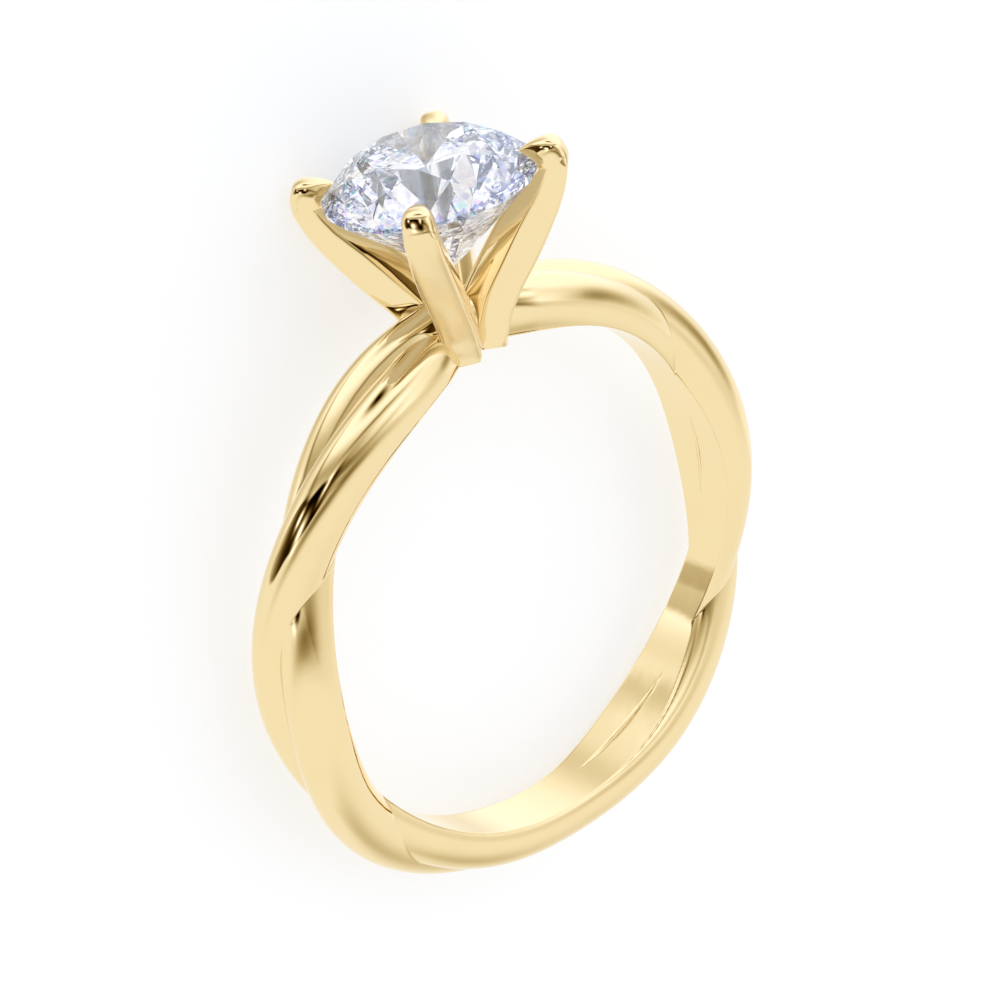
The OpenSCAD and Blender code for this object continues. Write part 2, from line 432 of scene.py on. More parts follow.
def tube(rows: int, around: int, inwards: bool = False) -> Faces:
    """Joins rings of points into a tube that is closed by a fan at each end.

    Args:
        rows: How many rings there are.
        around: How many points each ring has. The middle points of the two fans come after all rings.
        inwards: Whether the faces point the other way.

    Returns:
        Point numbers of each face.
    """
    rims = [(k * around + j, k * around + (j + 1) % around) for k in range(rows) for j in range(around)]
    hub = rows * around
    faces: Faces = [(a, b, b + around, a + around) for a, b in rims[:-around]]
    faces += [(b, a, hub) for a, b in rims[:around]]
    faces += [(a, b, hub + 1) for a, b in rims[-around:]]
    return [(face[0], *reversed(face[1:])) for face in faces] if inwards else faces


def put(name: str, data: bpy.types.ID) -> bpy.types.Object:
    """Puts a mesh or a camera into the scene as an object."""
    thing = bpy.data.objects.new(name, data)
    bpy.context.scene.collection.objects.link(thing)
    return thing


def place(mesh: bpy.types.Mesh, name: str, lay: Lay, slot: Slot, nodes: tuple[str, ...]) -> None:
    """Lays a finished mesh down in the row frame as a piece of the ring.

    Args:
        mesh: The mesh, upright and in millimetres.
        name: Name of the piece.
        lay: The ring's pose.
        slot: The record's slot of the piece's finish, which is only written to the log.
        nodes: The solids that the piece stands for.
    """
    mesh.transform(lay.matrix())
    mesh.update()
    piece = put(name, mesh)
    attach(piece, "root")
    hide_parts(*nodes)
    mesh.calc_loop_triangles()
    log.info("%s: %s, %d triangles", name, slot.value, len(mesh.loop_triangles))


# --------------------------------------------------------------------------------------------------------------
# Finishes


@dataclass(frozen=True)
class Marks:
    """Values of the handling marks on one material: how small they are, how deep, and the roughness they span."""

    wave_scale: float = 700.0
    mark_scale: float = 5200.0
    depth: float = 0.02
    smooth: float = 0.01
    dull: float = 0.035

    def inputs(self) -> Inputs:
        """The values by the names of the group's inputs, such as Wave Scale."""
        return {name.replace("_", " ").title(): value for name, value in asdict(self).items()}


@dataclass(frozen=True)
class HandlingMarks:
    """The faint waves and marks that polish and handling leave, one group for the gold and the stone."""

    stretch: Row = (1.0, 0.12, 1.0)
    wave_detail: float = 2.0
    mark_detail: float = 3.0
    mark_rough: float = 0.6
    mark_share: float = 0.01
    bump_reach: float = 0.0004
    dull_span: Pair = (0.35, 0.75)

    def group(self) -> bpy.types.NodeTree:
        """Builds the group.

        Returns:
            A shader node group that puts out a tint mask, a roughness and a normal.
        """
        sheet = NodeSheet(bpy.data.node_groups.new("handling marks", "ShaderNodeTree"))
        for name, value in Marks().inputs().items():
            sheet.socket(name, "INPUT", "NodeSocketFloat").default_value = value
        for name, kind in (("Tint", "Float"), ("Roughness", "Float"), ("Normal", "Vector")):
            sheet.socket(name, "OUTPUT", "NodeSocket" + kind)
        given = sheet.add("NodeGroupInput").outputs
        where = sheet.read("ShaderNodeTexCoord", output="Object")
        values = {"Vector": where, "Scale": given["Wave Scale"], "Detail": self.wave_detail}
        wave = sheet.read("ShaderNodeTexNoise", values, "Fac")
        stretched = sheet.read("ShaderNodeMapping", {"Vector": where, "Scale": self.stretch})
        values = {"Vector": stretched, "Scale": given["Mark Scale"]}
        values |= {"Detail": self.mark_detail, "Roughness": self.mark_rough}
        marks = sheet.read("ShaderNodeTexNoise", values, "Fac")
        rough = sheet.ramp(marks, self.dull_span, (given["Smooth"], given["Dull"]))
        height = marks.math("MULTIPLY_ADD", self.mark_share, wave)
        values = {"Strength": given["Depth"], "Distance": self.bump_reach, "Height": height}
        bump = sheet.read("ShaderNodeBump", values)
        sheet.add("NodeGroupOutput", {"Tint": wave, "Roughness": rough, "Normal": bump})
        return sheet.tree


@dataclass(frozen=True)
class GoldFinish:
    """Polished yellow gold, with a satin of its own on the head's outer faces below the claws."""

    name: str
    marks: Marks = Marks()
    slot: Slot = Slot.GOLD
    bright: Colour = (0.955, 0.785, 0.465)
    deep: Colour = (0.935, 0.760, 0.430)
    # painted reflection: where other gold mirrors it, the gold is painted this paler tone instead of its own colour
    mirrored: Colour = (0.92, 0.80, 0.58)
    # painted shade: where the gold is seen through the stone, it is painted this dark blue-grey instead of its own
    # colour
    through_stone: Colour = (0.34, 0.37, 0.44)
    satin: float = 0.0
    satin_top: float = 14.12
    satin_fade: float = 0.1
    satin_facing: Pair = (0.55, 0.75)

    def satin_share(self, sheet: ShaderSheet, lay: Lay) -> Term:
        """Puts out 1 on the head's outer faces, below the claws, and 0 elsewhere.

        Args:
            sheet: The material's sheet.
            lay: The ring's pose.

        Returns:
            The share of satin.
        """
        head = tuple(lay.matrix().to_3x3() @ Vector((0.0, 0.0, 1.0 / MM)))
        where = sheet.add("ShaderNodeTexCoord").outputs

        def vector(operation: str, *values: object, output: str = "Vector") -> Term:
            """Adds one Vector Math node."""
            return sheet.read("ShaderNodeVectorMath", dict(enumerate(values)), output, operation=operation)

        off = vector("SUBTRACT", where["Object"], tuple(lay.middle))
        upwards = vector("PROJECT", off, head)
        outwards = vector("NORMALIZE", vector("SUBTRACT", off, upwards))
        facing = vector("DOT_PRODUCT", where["Normal"], outwards, output="Value")
        height = vector("LENGTH", upwards, output="Value")
        fade = (self.satin_top * MM, (self.satin_top - self.satin_fade) * MM)
        return sheet.ramp(facing, self.satin_facing) * sheet.ramp(height, fade)

    def material(self, marks: bpy.types.NodeTree, lay: Lay) -> bpy.types.Material:
        """Builds the material.

        Args:
            marks: The group of handling marks.
            lay: The ring's pose.

        Returns:
            The material.
        """
        sheet = ShaderSheet(self.name)
        worn = sheet.add("ShaderNodeGroup", self.marks.inputs(), node_tree=marks).outputs
        tint = sheet.mix(worn["Tint"], self.deep, self.bright)
        # painted reflection tone for gold that is seen mirrored in gold
        seen = sheet.mix(sheet.mirrored_ray(), tint, self.mirrored)
        # gold seen through the stone takes the painted shade colour
        through = sheet.read("ShaderNodeLightPath", output="Is Transmission Ray")
        rough = Term(sheet, worn["Roughness"])
        if self.satin:
            rough = rough + (-rough + self.satin) * self.satin_share(sheet, lay)
        return sheet.finish(
            "ShaderNodeBsdfPrincipled",
            {
                "Base Color": sheet.mix(through, seen, self.through_stone), "Metallic": 1.0,
                "Roughness": rough, "Normal": worn["Normal"],
            },
        )


@dataclass(frozen=True)
class StoneFinish:
    """Clear cut stone.

    The flashes are small cells of colour in a ring near its girdle: painted fire that stands for coloured light split
    by the stone.
    The sparks are a painted glow that stands for light that has made more turns inside the stone than the renderer
    follows.
    In what the gold mirrors, the stone is painted black with one plain warm glow.
    """

    name: str
    marks: Marks = Marks(wave_scale=420.0, mark_scale=2600.0, depth=0.0, smooth=0.0, dull=0.006)
    slot: Slot = Slot.STONE
    clear: Colour = (0.985, 0.99, 1.0)
    gleam: Colour = (0.86, 0.91, 1.0)
    # painted glow: the stone glows this warm tone where the gold mirrors it
    in_metal: Colour = (0.92, 0.80, 0.58)
    ior: float = 2.42
    glow: float = 0.5
    cell_scale: float = 5600.0
    # painted fire: cells of colour near the girdle that stand for coloured light split by the stone
    flashes: tuple[Row, ...] = (
        (0.0, 1.0, 1.0, 1.0), (0.64, 0.34, 0.38, 0.86), (0.78, 0.66, 0.70, 0.98), (0.88, 0.10, 0.10, 0.26),
        (0.92, 0.62, 0.36, 0.90), (0.95, 0.45, 0.92, 1.0), (0.98, 1.0, 0.62, 0.86),
    )
    flash_ring: Pair = (2.3, 3.1)
    sparks: tuple[Row, ...] = (
        (0.0, 0.38, 0.40, 0.45), (0.28, 0.08, 0.09, 0.17), (0.52, 0.66, 0.68, 0.72), (0.68, 0.02, 0.02, 0.08),
        (0.82, 1.4, 1.4, 1.4), (0.92, 0.28, 0.22, 0.75), (0.97, 0.20, 0.75, 0.85),
    )
    turns: float = 3.5

    def cells(self, sheet: ShaderSheet, where: Term, table: tuple[Row, ...], pick: int) -> Term:
        """Covers the stone with small cells of a few colours.

        Args:
            sheet: The material's sheet.
            where: The place on the stone.
            table: Where on the ramp each colour starts, and its red, green and blue.
            pick: Which part of a cell's random colour picks its place on the ramp.

        Returns:
            The cells' colours.
        """
        drawn = sheet.read("ShaderNodeTexVoronoi", {"Vector": where, "Scale": self.cell_scale}, "Color")
        part = sheet.read("ShaderNodeSeparateColor", {0: drawn}, pick)
        node = sheet.add("ShaderNodeValToRGB", {0: part})
        node.color_ramp.interpolation = "CONSTANT"
        for start, *_ in table[2:]:
            node.color_ramp.elements.new(start)
        for element, (start, *colour) in zip(node.color_ramp.elements, table):
            element.position = start
            element.color = (*colour, 1.0)
        return Term(sheet, node.outputs[0])

    def material(self, marks: bpy.types.NodeTree, middle: Vector) -> bpy.types.Material:
        """Builds the material.

        Args:
            marks: The group of handling marks.
            middle: The middle of the stone.

        Returns:
            The material.
        """
        sheet = ShaderSheet(self.name)
        worn = sheet.add("ShaderNodeGroup", self.marks.inputs(), node_tree=marks).outputs
        where = sheet.read("ShaderNodeTexCoord", output="Object")
        off = sheet.read("ShaderNodeVectorMath", {0: where, 1: tuple(middle)}, "Value", operation="DISTANCE")
        near = sheet.ramp(off, tuple(reach * MM for reach in self.flash_ring))
        # the painted fire is mixed into the stone's own clear colour near the girdle
        body = sheet.mix(near, self.clear, self.cells(sheet, where, self.flashes, 0))
        inside = sheet.read("ShaderNodeNewGeometry", output="Backfacing")
        depth = sheet.read("ShaderNodeLightPath", output="Glossy Depth")
        turned = depth.math("GREATER_THAN", self.turns) * inside
        light = sheet.mix(turned, BLACK, self.cells(sheet, where, self.sparks, 1))
        # where the gold mirrors the stone, its colour goes black and it glows a painted warm tone instead
        in_metal = (-inside + 1.0) * sheet.mirrored_ray()
        return sheet.finish(
            "ShaderNodeBsdfPrincipled",
            {
                "Base Color": sheet.mix(in_metal, body, BLACK), "Metallic": 0.0, "IOR": self.ior,
                "Transmission Weight": 1.0, "Roughness": worn["Roughness"], "Specular Tint": self.gleam,
                "Emission Color": sheet.mix(in_metal, light, self.in_metal), "Emission Strength": self.glow,
            },
        )


# --------------------------------------------------------------------------------------------------------------
# Pieces


@dataclass
class TwistedShank:
    """Two strands twisted round each other into a ring and cut smooth by the finger hole."""

    sizes: RingSizes
    finish: GoldFinish
    rings: int = 720
    sides: int = 124
    edge_soft: float = 0.03
    draw: float = 0.8
    draw_width: float = 13.0
    weld: float = 0.0008
    crease: float = 40.0

    def winding_table(self) -> bpy.types.Mesh:
        """Makes the table of the winding as points: ring angle along x and winding angle along y, one knot of the
        turn before and three of the turn after it added."""
        count = len(TWIST)
        rows = [
            (k * 360.0 / count, TWIST[k % count][1] + TWIST_TOTAL * (k // count), 0.0)
            for k in range(-1, count + 3)
        ]
        return mesh_of("winding table", np.array(rows), [])

    def winding(self, rule: GeometryRule, turn: Term) -> Term:
        """Works out the winding angle of the first strand.

        Args:
            rule: The tree.
            turn: Angle round the ring from the head, in degrees.

        Returns:
            The angle about the winding's line, in degrees, on a smooth curve through the table.
        """
        place_in_table = turn / (360.0 / len(TWIST))
        knot = place_in_table.math("FLOOR")
        position = rule.read("GeometryNodeInputPosition")

        def angle(ahead: int) -> Term:
            """Winding angle at a knot some places ahead of the one before the point."""
            values = {0: rule.start.outputs["Geometry"], "Value": position, "Index": knot + float(ahead + 1)}
            row = rule.read("GeometryNodeSampleIndex", values, data_type="FLOAT_VECTOR", domain="POINT")
            return rule.read("ShaderNodeSeparateXYZ", {0: row}, "Y")

        before, a, b, after = (angle(k) for k in (-1, 0, 1, 2))
        return curve_between(place_in_table - knot, a, b, (b - before) * 0.5, (after - a) * 0.5)

    def build(self, marks: bpy.types.NodeTree, lay: Lay) -> bpy.types.Mesh:
        """Builds the shank by its winding rule.

        Args:
            marks: The group of handling marks.
            lay: The ring's pose.

        Returns:
            The mesh, upright and in millimetres.
        """
        s = self.sizes
        rule = GeometryRule("twisted shank")
        finger_r = rule.size("Finger radius", s.finger_r)
        wind_h = rule.size("Winding height", s.wind_h)
        rise = rule.size("Winding rise", s.wind_rise)
        side_way = rule.size("Winding side", s.wind_side)
        half_h = rule.size("Strand height", s.strand_h) * 0.5
        half_w = rule.size("Strand width", s.strand_w) * 0.5
        pinch = rule.size("Pinch", s.pinch)
        foot = rule.size("Foot reach", s.foot_reach)
        soft = rule.size("Edge softness", self.edge_soft)
        draw = rule.size("Draw to the edge", self.draw)
        draw_width = rule.size("Draw width", self.draw_width)

        counts = {"Vertices X": self.rings + 1, "Vertices Y": self.sides + 1}
        grid = rule.read("GeometryNodeMeshGrid", {"Size X": 1.0, "Size Y": 1.0, **counts}, "Mesh")
        spot = rule.add("ShaderNodeSeparateXYZ", {0: rule.read("GeometryNodeInputPosition")}).outputs
        index_ring, index_side = (
            ((Term(rule, spot[axis]) + 0.5) * float(count)).math("ROUND")
            for axis, count in (("X", self.rings), ("Y", self.sides))
        )
        turn = index_ring * (360.0 / self.rings)
        half_count = self.sides / 2.0
        second = index_side.math("GREATER_THAN", half_count - 0.5)
        side = second * -2.0 + 1.0
        share = (index_side - second * half_count) / half_count

        psi = self.winding(rule, turn).math("RADIANS")
        cr = rise * psi.math("COSINE") / half_h
        cy = side_way * psi.math("SINE") / half_w
        away = (cr * cr + cy * cy).math("SQRT")
        towards = cy.math("ARCTAN2", cr).math("DEGREES")
        half = away.math("ARCSINE").math("DEGREES") + 90.0

        # the edges of the cut lie at these angles, and the points are drawn together there
        cut = (-(wind_h / half_h * side + cr)).math("ARCCOSINE").math("DEGREES")

        def drawn(at: Term) -> Term:
            """Shift in degrees that draws a point at an angle towards the edges of the cut."""
            shifts = []
            for edge in (cut, -cut):
                gap = (at - edge).math("WRAP", 180.0, -180.0)
                way = gap / draw_width
                shifts.append(gap * (-(way * way)).math("EXPONENT") * draw)
            return shifts[0] + shifts[1]

        low, high = towards - half, towards + half
        at = lerp(low, high, share)
        at = at - drawn(at) + lerp(drawn(low), drawn(high), share)
        angle = at.math("RADIANS")

        off = turn.math("WRAP", 180.0, -180.0).math("ABSOLUTE")
        wind_r = finger_r + wind_h
        span = (foot * math.sin(math.radians(45)) / wind_r).math("ARCSINE").math("DEGREES") * 2.0
        near = (off / span).math("MINIMUM", 1.0) * (math.pi / 2)
        narrow = -(near.math("COSINE").math("POWER", 2.0) * pinch) + 1.0

        out = side * (cr + angle.math("COSINE")) * half_h
        along = side * (cy + angle.math("SINE")) * half_w * narrow
        height = out + wind_h
        blend = (soft - height.math("ABSOLUTE")).math("MAXIMUM", 0.0)
        radius = finger_r + height.math("MAXIMUM", 0.0) + blend * blend / (soft * 4.0)

        turn_angle = turn.math("RADIANS")
        values = {"X": -(radius * turn_angle.math("SINE")), "Y": along, "Z": radius * turn_angle.math("COSINE")}
        moved = rule.read("GeometryNodeSetPosition", {0: grid, "Position": rule.read("ShaderNodeCombineXYZ", values)})
        welded = rule.read("GeometryNodeMergeByDistance", {0: moved, "Distance": self.weld})
        outwards = rule.read("GeometryNodeFlipFaces", {0: welded})
        rule.finish(outwards, self.crease, self.finish.material(marks, lay))
        return rule.run(self.winding_table(), "twisted_shank")


@dataclass
class Brilliant:
    """A round brilliant's solid, used for the room that the claws leave for the stone."""

    sizes: RingSizes
    gap: float = 0.0
    mains: int = 8
    girdle_sides: int = 64

    def _scallop(self, z: float, p_r: float, p_z: float, off: float) -> float:
        """Height at the girdle of the half facet through an inner point, at an angle off its sector's middle."""
        r = self.sizes.stone_r + self.gap
        sector = math.pi / self.mains
        chord = r * math.cos(sector / 2)
        slope = (p_z - z) / (chord - p_r * math.cos(sector / 2))
        return z - slope * (r * math.cos(off) - chord)

    def mesh(self) -> bpy.types.Mesh:
        """Builds the faceted solid, its faces pointing outwards."""
        s, m, g = self.sizes, self.mains, self.girdle_sides
        r = s.stone_r + self.gap
        low, top = s.girdle_low - self.gap, s.girdle_top + self.gap
        sector = math.pi / m
        rise, fall = math.tan(math.radians(s.crown_angle)), math.tan(math.radians(s.pavilion_angle))
        table_r = r * s.table
        flat_r = table_r * math.cos(sector)
        star_r = flat_r + (r - flat_r) * s.star
        star_z = top + (r - star_r * math.cos(sector)) * rise
        half_r = r * (1 - s.lower_half)
        half_z = low - (r - half_r * math.cos(sector)) * fall

        def polar(radius: float, angle: float, z: float) -> Row:
            """Point at a radius, an angle and a height."""
            return (radius * math.cos(angle), radius * math.sin(angle), z)

        points = [polar(table_r, 2 * sector * i, top + (r - table_r) * rise) for i in range(m)]
        points += [polar(star_r, 2 * sector * (i + 0.5), star_z) for i in range(m)]
        for z, p_r, p_z in ((top, star_r, star_z), (low, half_r, half_z)):
            for j in range(g):
                a = j * 2 * math.pi / g
                off = a - sector * math.floor(a / sector + 1e-9) - sector / 2
                points.append(polar(r, a, self._scallop(z, p_r, p_z, off)))
        points += [polar(half_r, 2 * sector * (i + 0.5), half_z) for i in range(m)]
        points.append((0.0, 0.0, low - r * fall))
        part, star, upper, lower = g // m, m, 2 * m, 2 * m + g
        inner, point = lower + g, lower + g + m
        faces: Faces = [tuple(range(m))]
        for i in range(m):
            faces.append((star + i, (i + 1) % m, i))
            faces.append((star + (i + m - 1) % m, upper + part * i, star + i, i))
            faces.append((lower + part * i, inner + (i + m - 1) % m, point, inner + i))
            for h in (0, 1):
                run = [(part * i + part // 2 * h + j) % g for j in range(part // 2 + 1)]
                faces.append(tuple([*(upper + j for j in run), star + i]))
                faces.append(tuple([*(lower + j for j in reversed(run)), inner + i]))
        for j in range(g):
            k = (j + 1) % g
            faces.append((lower + j, lower + k, upper + k, upper + j))
        return mesh_of("seat", np.array(points), faces)


@dataclass
class ClawHead:
    """Four tapered prongs from one foot, each ending in a rounded claw over the stone."""

    sizes: RingSizes
    finish: GoldFinish
    prongs: int = 4
    first_turn: float = 45.0
    rows_between: int = 8
    points_per_corner: int = 5
    prong_round: float = 0.14
    claw_round: float = 0.34
    crease: float = 32.0
    hole_sides: int = 360
    hole_depth: float = 8.0

    def sections(self) -> np.ndarray:
        """Corner points of each section in the prong's own place: section, corner, then reach, side and height."""
        s = self.sizes
        rings = []
        for height, reach_share, depth, width in PRONG:
            reach = s.foot_reach + reach_share * (s.stone_r + s.claw_reach - s.foot_reach)
            z = s.finger_r + height * s.girdle_z
            rings.append(((reach, z), (reach - depth * s.prong_t, z), width * s.prong_w, 0))
        for way, height, under_share, width in CLAW:
            reach = s.stone_r + s.claw_reach - way * (s.claw_reach + s.claw_in)
            under = s.stone_r - under_share * s.claw_in
            outer = (reach, s.crown_z(reach) + height * s.claw_h)
            inner = (under, s.crown_z(under) - s.claw_sink * s.claw_h)
            rings.append((outer, inner, width * s.prong_w, 1))
        corners = 2 * (len(SECTION) - 1)
        made = np.zeros((len(rings), corners, 3))
        for k, (outer, inner, width, kind) in enumerate(rings):
            for j in range(corners):
                side = 1 if j < corners // 2 else -1
                row = SECTION[j if side > 0 else corners - j]
                spot = np.array(outer) + (np.array(inner) - np.array(outer)) * row[2 * kind]
                made[k, j] = (spot[0], side * width / 2 * row[2 * kind + 1], spot[1])
        return made

    def along(self, rings: np.ndarray) -> tuple[np.ndarray, np.ndarray]:
        """Runs a smooth curve through the sections.

        Args:
            rings: The sections' corner points.

        Returns:
            More sections between them, and for each how far it is from prong, 0, to claw, 1.
        """
        middle = rings.mean(1)
        step = np.linalg.norm(np.diff(middle, axis=0), axis=1).clip(0.05)
        at = np.concatenate([[0.0], np.cumsum(step)])
        slope = np.zeros_like(rings)
        slope[1:-1] = (rings[2:] - rings[:-2]) / (at[2:] - at[:-2])[:, None, None]
        slope[0] = (rings[1] - rings[0]) / step[0]
        slope[-1] = (rings[-1] - rings[-2]) / step[-1]
        kind = np.array([0.0] * len(PRONG) + [1.0] * len(CLAW))
        out, kinds = [], []
        for k in range(len(rings) - 1):
            slopes = step[k] * slope[k], step[k] * slope[k + 1]
            for n in range(self.rows_between):
                t = n / self.rows_between
                out.append(curve_between(t, rings[k], rings[k + 1], *slopes))
                kinds.append(kind[k] * (1 - t) + kind[k + 1] * t)
        out.append(rings[-1])
        kinds.append(1.0)
        return np.array(out), np.array(kinds)

    def one_prong(self) -> bpy.types.Mesh:
        """Lofts one prong with its claw through rounded sections, closed at both ends."""
        rings, kinds = self.along(self.sections())
        rows, corners, _ = rings.shape
        before, after = np.roll(rings, 1, axis=1), np.roll(rings, -1, axis=1)
        points = []
        for k in range(rows):
            soft = self.prong_round + (self.claw_round - self.prong_round) * kinds[k]
            for j in range(corners):
                corner = rings[k, j]
                into, out = before[k, j] - corner, after[k, j] - corner
                a = corner + into * min(0.5, soft / max(np.linalg.norm(into), 1e-9))
                b = corner + out * min(0.5, soft / max(np.linalg.norm(out), 1e-9))
                for n in range(self.points_per_corner):
                    t = (n + 0.5) / self.points_per_corner
                    points.append((1 - t) ** 2 * a + 2 * t * (1 - t) * corner + t**2 * b)
        around = corners * self.points_per_corner
        hubs = [np.mean(points[start:start + around], axis=0) for start in (0, (rows - 1) * around)]
        return mesh_of("one prong", np.array(points + hubs), tube(rows, around))

    def build(self, marks: bpy.types.NodeTree, lay: Lay) -> bpy.types.Mesh:
        """Cuts the stone's seat and the finger hole from one prong and repeats it round the head.

        Args:
            marks: The group of handling marks.
            lay: The ring's pose.

        Returns:
            The mesh, upright and in millimetres.
        """
        s = self.sizes
        seat_mesh = Brilliant(s, s.seat_gap).mesh()
        seat_mesh.transform(Matrix.Rotation(math.radians(-self.first_turn), 4, "Z"))
        seat = put("seat", seat_mesh)

        rule = GeometryRule("claw head")
        count = rule.size("Prongs", self.prongs, "NodeSocketInt")
        first = rule.size("First turn", math.radians(self.first_turn))
        finger_r = rule.size("Finger radius", s.finger_r)
        room = rule.size("Seat", seat, "NodeSocketObject")

        def cut(solid: object, tool: Term, crossed: bool) -> Term:
            """Takes one closed mesh away from another, which may cross itself."""
            values = {"Mesh 1": solid, "Mesh 2": tool, "Self Intersection": crossed}
            return rule.read("GeometryNodeMeshBoolean", values, operation="DIFFERENCE", solver="EXACT")

        seat_in = rule.read("GeometryNodeObjectInfo", {"Object": room}, "Geometry")
        prong = cut(rule.start.outputs["Geometry"], seat_in, False)
        line = rule.read("GeometryNodeMeshLine", {"Count": count, "Offset": (0.0, 0.0, 0.0)}, "Mesh")
        angle = rule.read("GeometryNodeInputIndex") * (2 * math.pi / self.prongs) + first
        turn = rule.read("ShaderNodeCombineXYZ", {"Z": angle})
        copies = rule.read("GeometryNodeInstanceOnPoints", {"Points": line, "Instance": prong, "Rotation": turn})
        real = rule.read("GeometryNodeRealizeInstances", {0: copies})
        values = {"Vertices": self.hole_sides, "Depth": self.hole_depth, "Radius": finger_r}
        hole = rule.read("GeometryNodeMeshCylinder", values, "Mesh")
        turned = rule.read("GeometryNodeTransform", {0: hole, "Rotation": (math.pi / 2, 0.0, 0.0)})
        rule.finish(cut(real, turned, True), self.crease, self.finish.material(marks, lay))
        made = rule.run(self.one_prong(), "claw_head")
        bpy.data.objects.remove(seat)
        return made


@dataclass
class CentreStone:
    """The round brilliant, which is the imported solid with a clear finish."""

    finish: StoneFinish
    node: str = "centre_stone"

    def dress(self, nodes: dict[str, bpy.types.Object], marks: bpy.types.NodeTree, middle: Vector) -> None:
        """Puts the finish on the solid.

        Args:
            nodes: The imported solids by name.
            marks: The group of handling marks.
            middle: The middle of the stone.
        """
        stone = nodes[self.node]
        stone.data.materials[0] = self.finish.material(marks, middle)
        log.info("%s: %s, %d faces", self.node, self.finish.slot.value, len(stone.data.polygons))


# --------------------------------------------------------------------------------------------------------------
# Studio


def smooth_step(value: np.ndarray, start: np.ndarray | float, stop: np.ndarray | float) -> np.ndarray:
    """Runs smoothly from 0 at one value to 1 at another."""
    t = ((value - start) / (stop - start)).clip(0.0, 1.0)
    return t * t * (3.0 - 2.0 * t)


def smooth_table(at: np.ndarray, knots: np.ndarray, values: np.ndarray) -> np.ndarray:
    """Reads a smooth curve through a table's knots.

    Args:
        at: Where the curve is read. It stays level beyond the table's ends.
        knots: The table's first column.
        values: The column that is read.

    Returns:
        The curve's values.
    """
    slopes = np.gradient(values, knots)
    at = at.clip(knots[0], knots[-1])
    k = (np.searchsorted(knots, at, "right") - 1).clip(0, len(knots) - 2)
    span = knots[k + 1] - knots[k]
    return curve_between((at - knots[k]) / span, values[k], values[k + 1], slopes[k] * span, slopes[k + 1] * span)


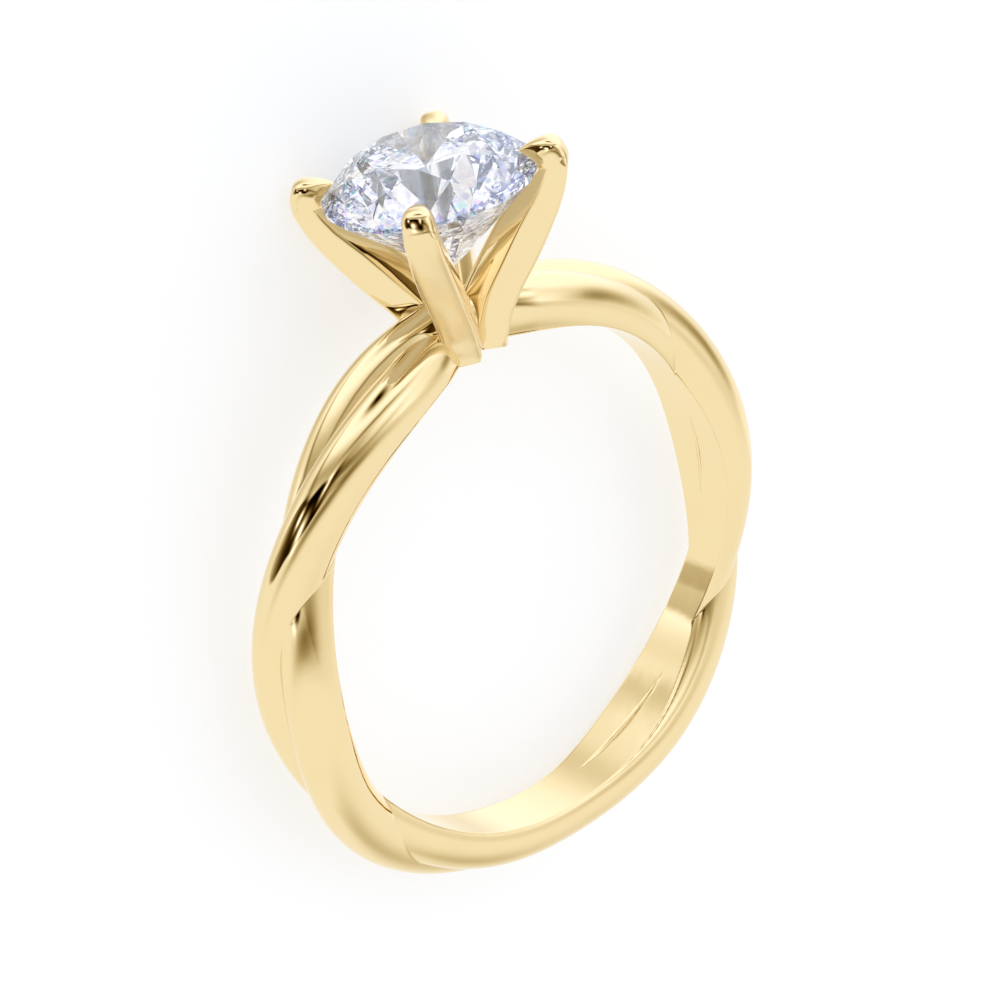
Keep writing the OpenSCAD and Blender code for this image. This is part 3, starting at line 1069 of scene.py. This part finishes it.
@dataclass
class Studio:
    """A plain pale floor, soft light and the camera at the photograph's viewing angle."""

    lay: Lay
    eye: Row = (36.798, 50.354, 38.790)
    right: Row = (-0.71857, 0.66566, -0.20138)
    up: Row = (-0.47302, -0.25553, 0.84318)
    lens: float = 81.153
    sensor: float = 36.0
    clip: Pair = (0.001, 10.0)
    floor_size: float = 2.4
    floor_colour: Colour = (0.49, 0.50, 0.52)
    floor_rough: float = 0.9
    floor_glow: float = 0.58
    grain_scale: float = 300.0
    grain_detail: float = 2.0
    grain_lift: float = 0.01
    dome_radius: float = 1.1
    dome_power: float = 0.5
    dome_steps: Row = (5.0, 1.25, 5.0)
    side_stops: Row = (-180.0, -145.0, 130.0, 180.0)
    rise_stops: Row = (-85.0, -75.0, 75.0, 90.0)
    fill: float = 0.05
    strength: float = 0.98
    light_range: Pair = (0.004, 1.5)
    top_light: float = 0.2
    top_span: Pair = (20.0, 38.0)
    gap_edge: float = 1.4
    gap_fade: float = 32.0
    warmth: Colour = (1.3, 1.55, 2.25)

    def turned(self, way: Row) -> Vector:
        """A direction beside the upright ring as it is in the row frame."""
        return (self.lay.matrix().to_3x3() @ Vector(way)).normalized()

    def camera(self) -> None:
        """Sets up the camera and makes it the scene's."""
        data = bpy.data.cameras.new("camera")
        data.lens = self.lens
        data.sensor_width = self.sensor
        data.clip_start, data.clip_end = self.clip
        right, up = self.turned(self.right), self.turned(self.up)
        turn = Matrix((right, up, right.cross(up))).transposed().to_4x4()
        camera = put("camera", data)
        camera.matrix_world = Matrix.Translation(self.lay.matrix() @ Vector(self.eye)) @ turn
        bpy.context.scene.camera = camera

    def floor(self) -> None:
        """Lays the floor, a plain pale sheet with a faint grain."""
        half = self.floor_size / 2
        corners = np.array([(-half, -half, 0.0), (half, -half, 0.0), (half, half, 0.0), (-half, half, 0.0)])
        floor = put("floor", mesh_of("floor", corners, [(0, 1, 2, 3)]))
        sheet = ShaderSheet("pale floor")
        where = sheet.read("ShaderNodeTexCoord", output="Object")
        values = {"Vector": where, "Scale": self.grain_scale, "Detail": self.grain_detail}
        grain = sheet.read("ShaderNodeTexNoise", values, "Fac")
        tint = sheet.mix(grain, self.floor_colour, tuple(part + self.grain_lift for part in self.floor_colour))
        values = {"Base Color": tint, "Roughness": self.floor_rough}
        values |= {"Emission Color": WHITE, "Emission Strength": self.floor_glow}
        floor.data.materials.append(sheet.finish("ShaderNodeBsdfPrincipled", values))
        floor.visible_glossy = False
        floor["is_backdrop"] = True

    def light_from(self, side: np.ndarray, rise: np.ndarray) -> np.ndarray:
        """Works out the studio's light by direction.

        Args:
            side: Angles to the camera's right, in degrees.
            rise: Angles above the camera, in degrees.

        Returns:
            The light, 1 for the plain white around the ring.
        """
        gap = np.array(GAP)
        line, half, depth, low = (smooth_table(side, gap[:, 0], gap[:, k]) for k in (1, 2, 3, 4))
        over = rise - line
        dark = smooth_step(np.abs(over), half + self.gap_edge, np.maximum(half - self.gap_edge, 0.0))
        above = low + (1.0 - low) * smooth_step(over, 0.0, self.gap_fade)
        above += self.top_light * smooth_step(rise, *self.top_span)
        plain = 1.0 + (above - 1.0) * smooth_step(over, -1.0, 1.0)
        light = self.strength * plain * (1.0 - dark * depth.clip(0.0, 1.0))
        lamps = np.zeros_like(light)
        for at_side, at_rise, length, width, turn, power in CARDS:
            c, s = math.cos(math.radians(turn)), math.sin(math.radians(turn))
            x, y = side - at_side, rise - at_rise
            card = np.exp(-(((x * c + y * s) / length) ** 2) - ((y * c - x * s) / width) ** 2)
            if power > 0:
                lamps += card * power
            else:
                light *= 1.0 - np.minimum(card * -power, 1.0)
        return (light + lamps).clip(*self.light_range)

    def dome(self) -> None:
        """Hangs a dome of light round the ring. Its light is warm in what gold mirrors and white for all else."""
        sides, rises = (
            np.concatenate([np.arange(*span) for span in zip(stops, stops[1:], self.dome_steps)])
            for stops in (self.side_stops, self.rise_stops)
        )
        side, rise = (angles.ravel() for angles in np.meshgrid(sides, rises))
        right, up = (np.array(self.turned(way)) for way in (self.right, self.up))
        back = np.cross(right, up)
        a, b = np.radians(side)[:, None], np.radians(rise)[:, None]
        points = np.cos(b) * (np.sin(a) * right + np.cos(a) * back) + np.sin(b) * up
        points = np.vstack([points, -up, up]) * self.dome_radius
        mesh = mesh_of("light dome", points, tube(len(rises), len(sides), inwards=True))
        light = np.concatenate([self.light_from(side, rise), [self.strength] * 2])[:, None]
        lights = {"warm": light ** np.array(self.warmth), "plain": self.fill + (1 - self.fill) * light}
        for name, colour in lights.items():
            values = np.ones((len(light), 4), np.float32)
            values[:, :3] = colour / self.dome_power
            mesh.attributes.new(name, "FLOAT_COLOR", "POINT").data.foreach_set("color", values.ravel())

        sheet = ShaderSheet("studio light")
        warm, plain = (sheet.read("ShaderNodeAttribute", output="Color", attribute_name=name) for name in lights)
        to_camera = sheet.read("ShaderNodeLightPath", output="Is Camera Ray")
        white = sheet.mix(to_camera, plain, tuple(part / self.dome_power for part in WHITE))
        values = {"Color": sheet.mix(sheet.mirrored_ray(), white, warm), "Strength": self.dome_power}
        mesh.materials.append(sheet.finish("ShaderNodeEmission", values))
        put("light_dome", mesh)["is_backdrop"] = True

    def surround(self) -> None:
        """Leaves the dome as the only light."""
        world = bpy.data.worlds.new("studio")
        bpy.context.scene.world = world
        world.use_nodes = True
        world.node_tree.nodes["Background"].inputs["Strength"].default_value = 0.0

    def build(self) -> None:
        """Sets up the camera, the floor and the lights."""
        bpy.context.scene.view_settings.view_transform = "Standard"
        self.camera()
        self.floor()
        self.dome()
        self.surround()


def main() -> None:
    """Builds the ring's pieces in order and sets up the studio."""
    logging.basicConfig(level=logging.INFO, format="%(name)s: %(message)s")
    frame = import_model()
    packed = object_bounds()
    sizes = RingSizes()
    lay = Lay.from_record(frame["record"])
    marks = HandlingMarks().group()
    shank = TwistedShank(sizes, GoldFinish("polished gold of the shank"))
    place(shank.build(marks, lay), "twisted_shank", lay, shank.finish.slot, ("mounting",))
    head = ClawHead(sizes, GoldFinish("polished gold of the head", Marks(wave_scale=900.0), satin=0.26))
    place(head.build(marks, lay), "claw_head", lay, head.finish.slot, ("mounting",))
    middle = lay.matrix() @ Vector((0.0, 0.0, sizes.girdle_low))
    CentreStone(StoneFinish("clear cut stone")).dress(frame["nodes"], marks, middle)
    Studio(lay).build()
    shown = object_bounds()
    for name, (low, high) in (("packed", packed), ("shown", shown)):
        log.info("%s box: %s", name, ", ".join(f"{x / MM:.3f}" for x in (high - low)))


if __name__ == "__main__":
    main()
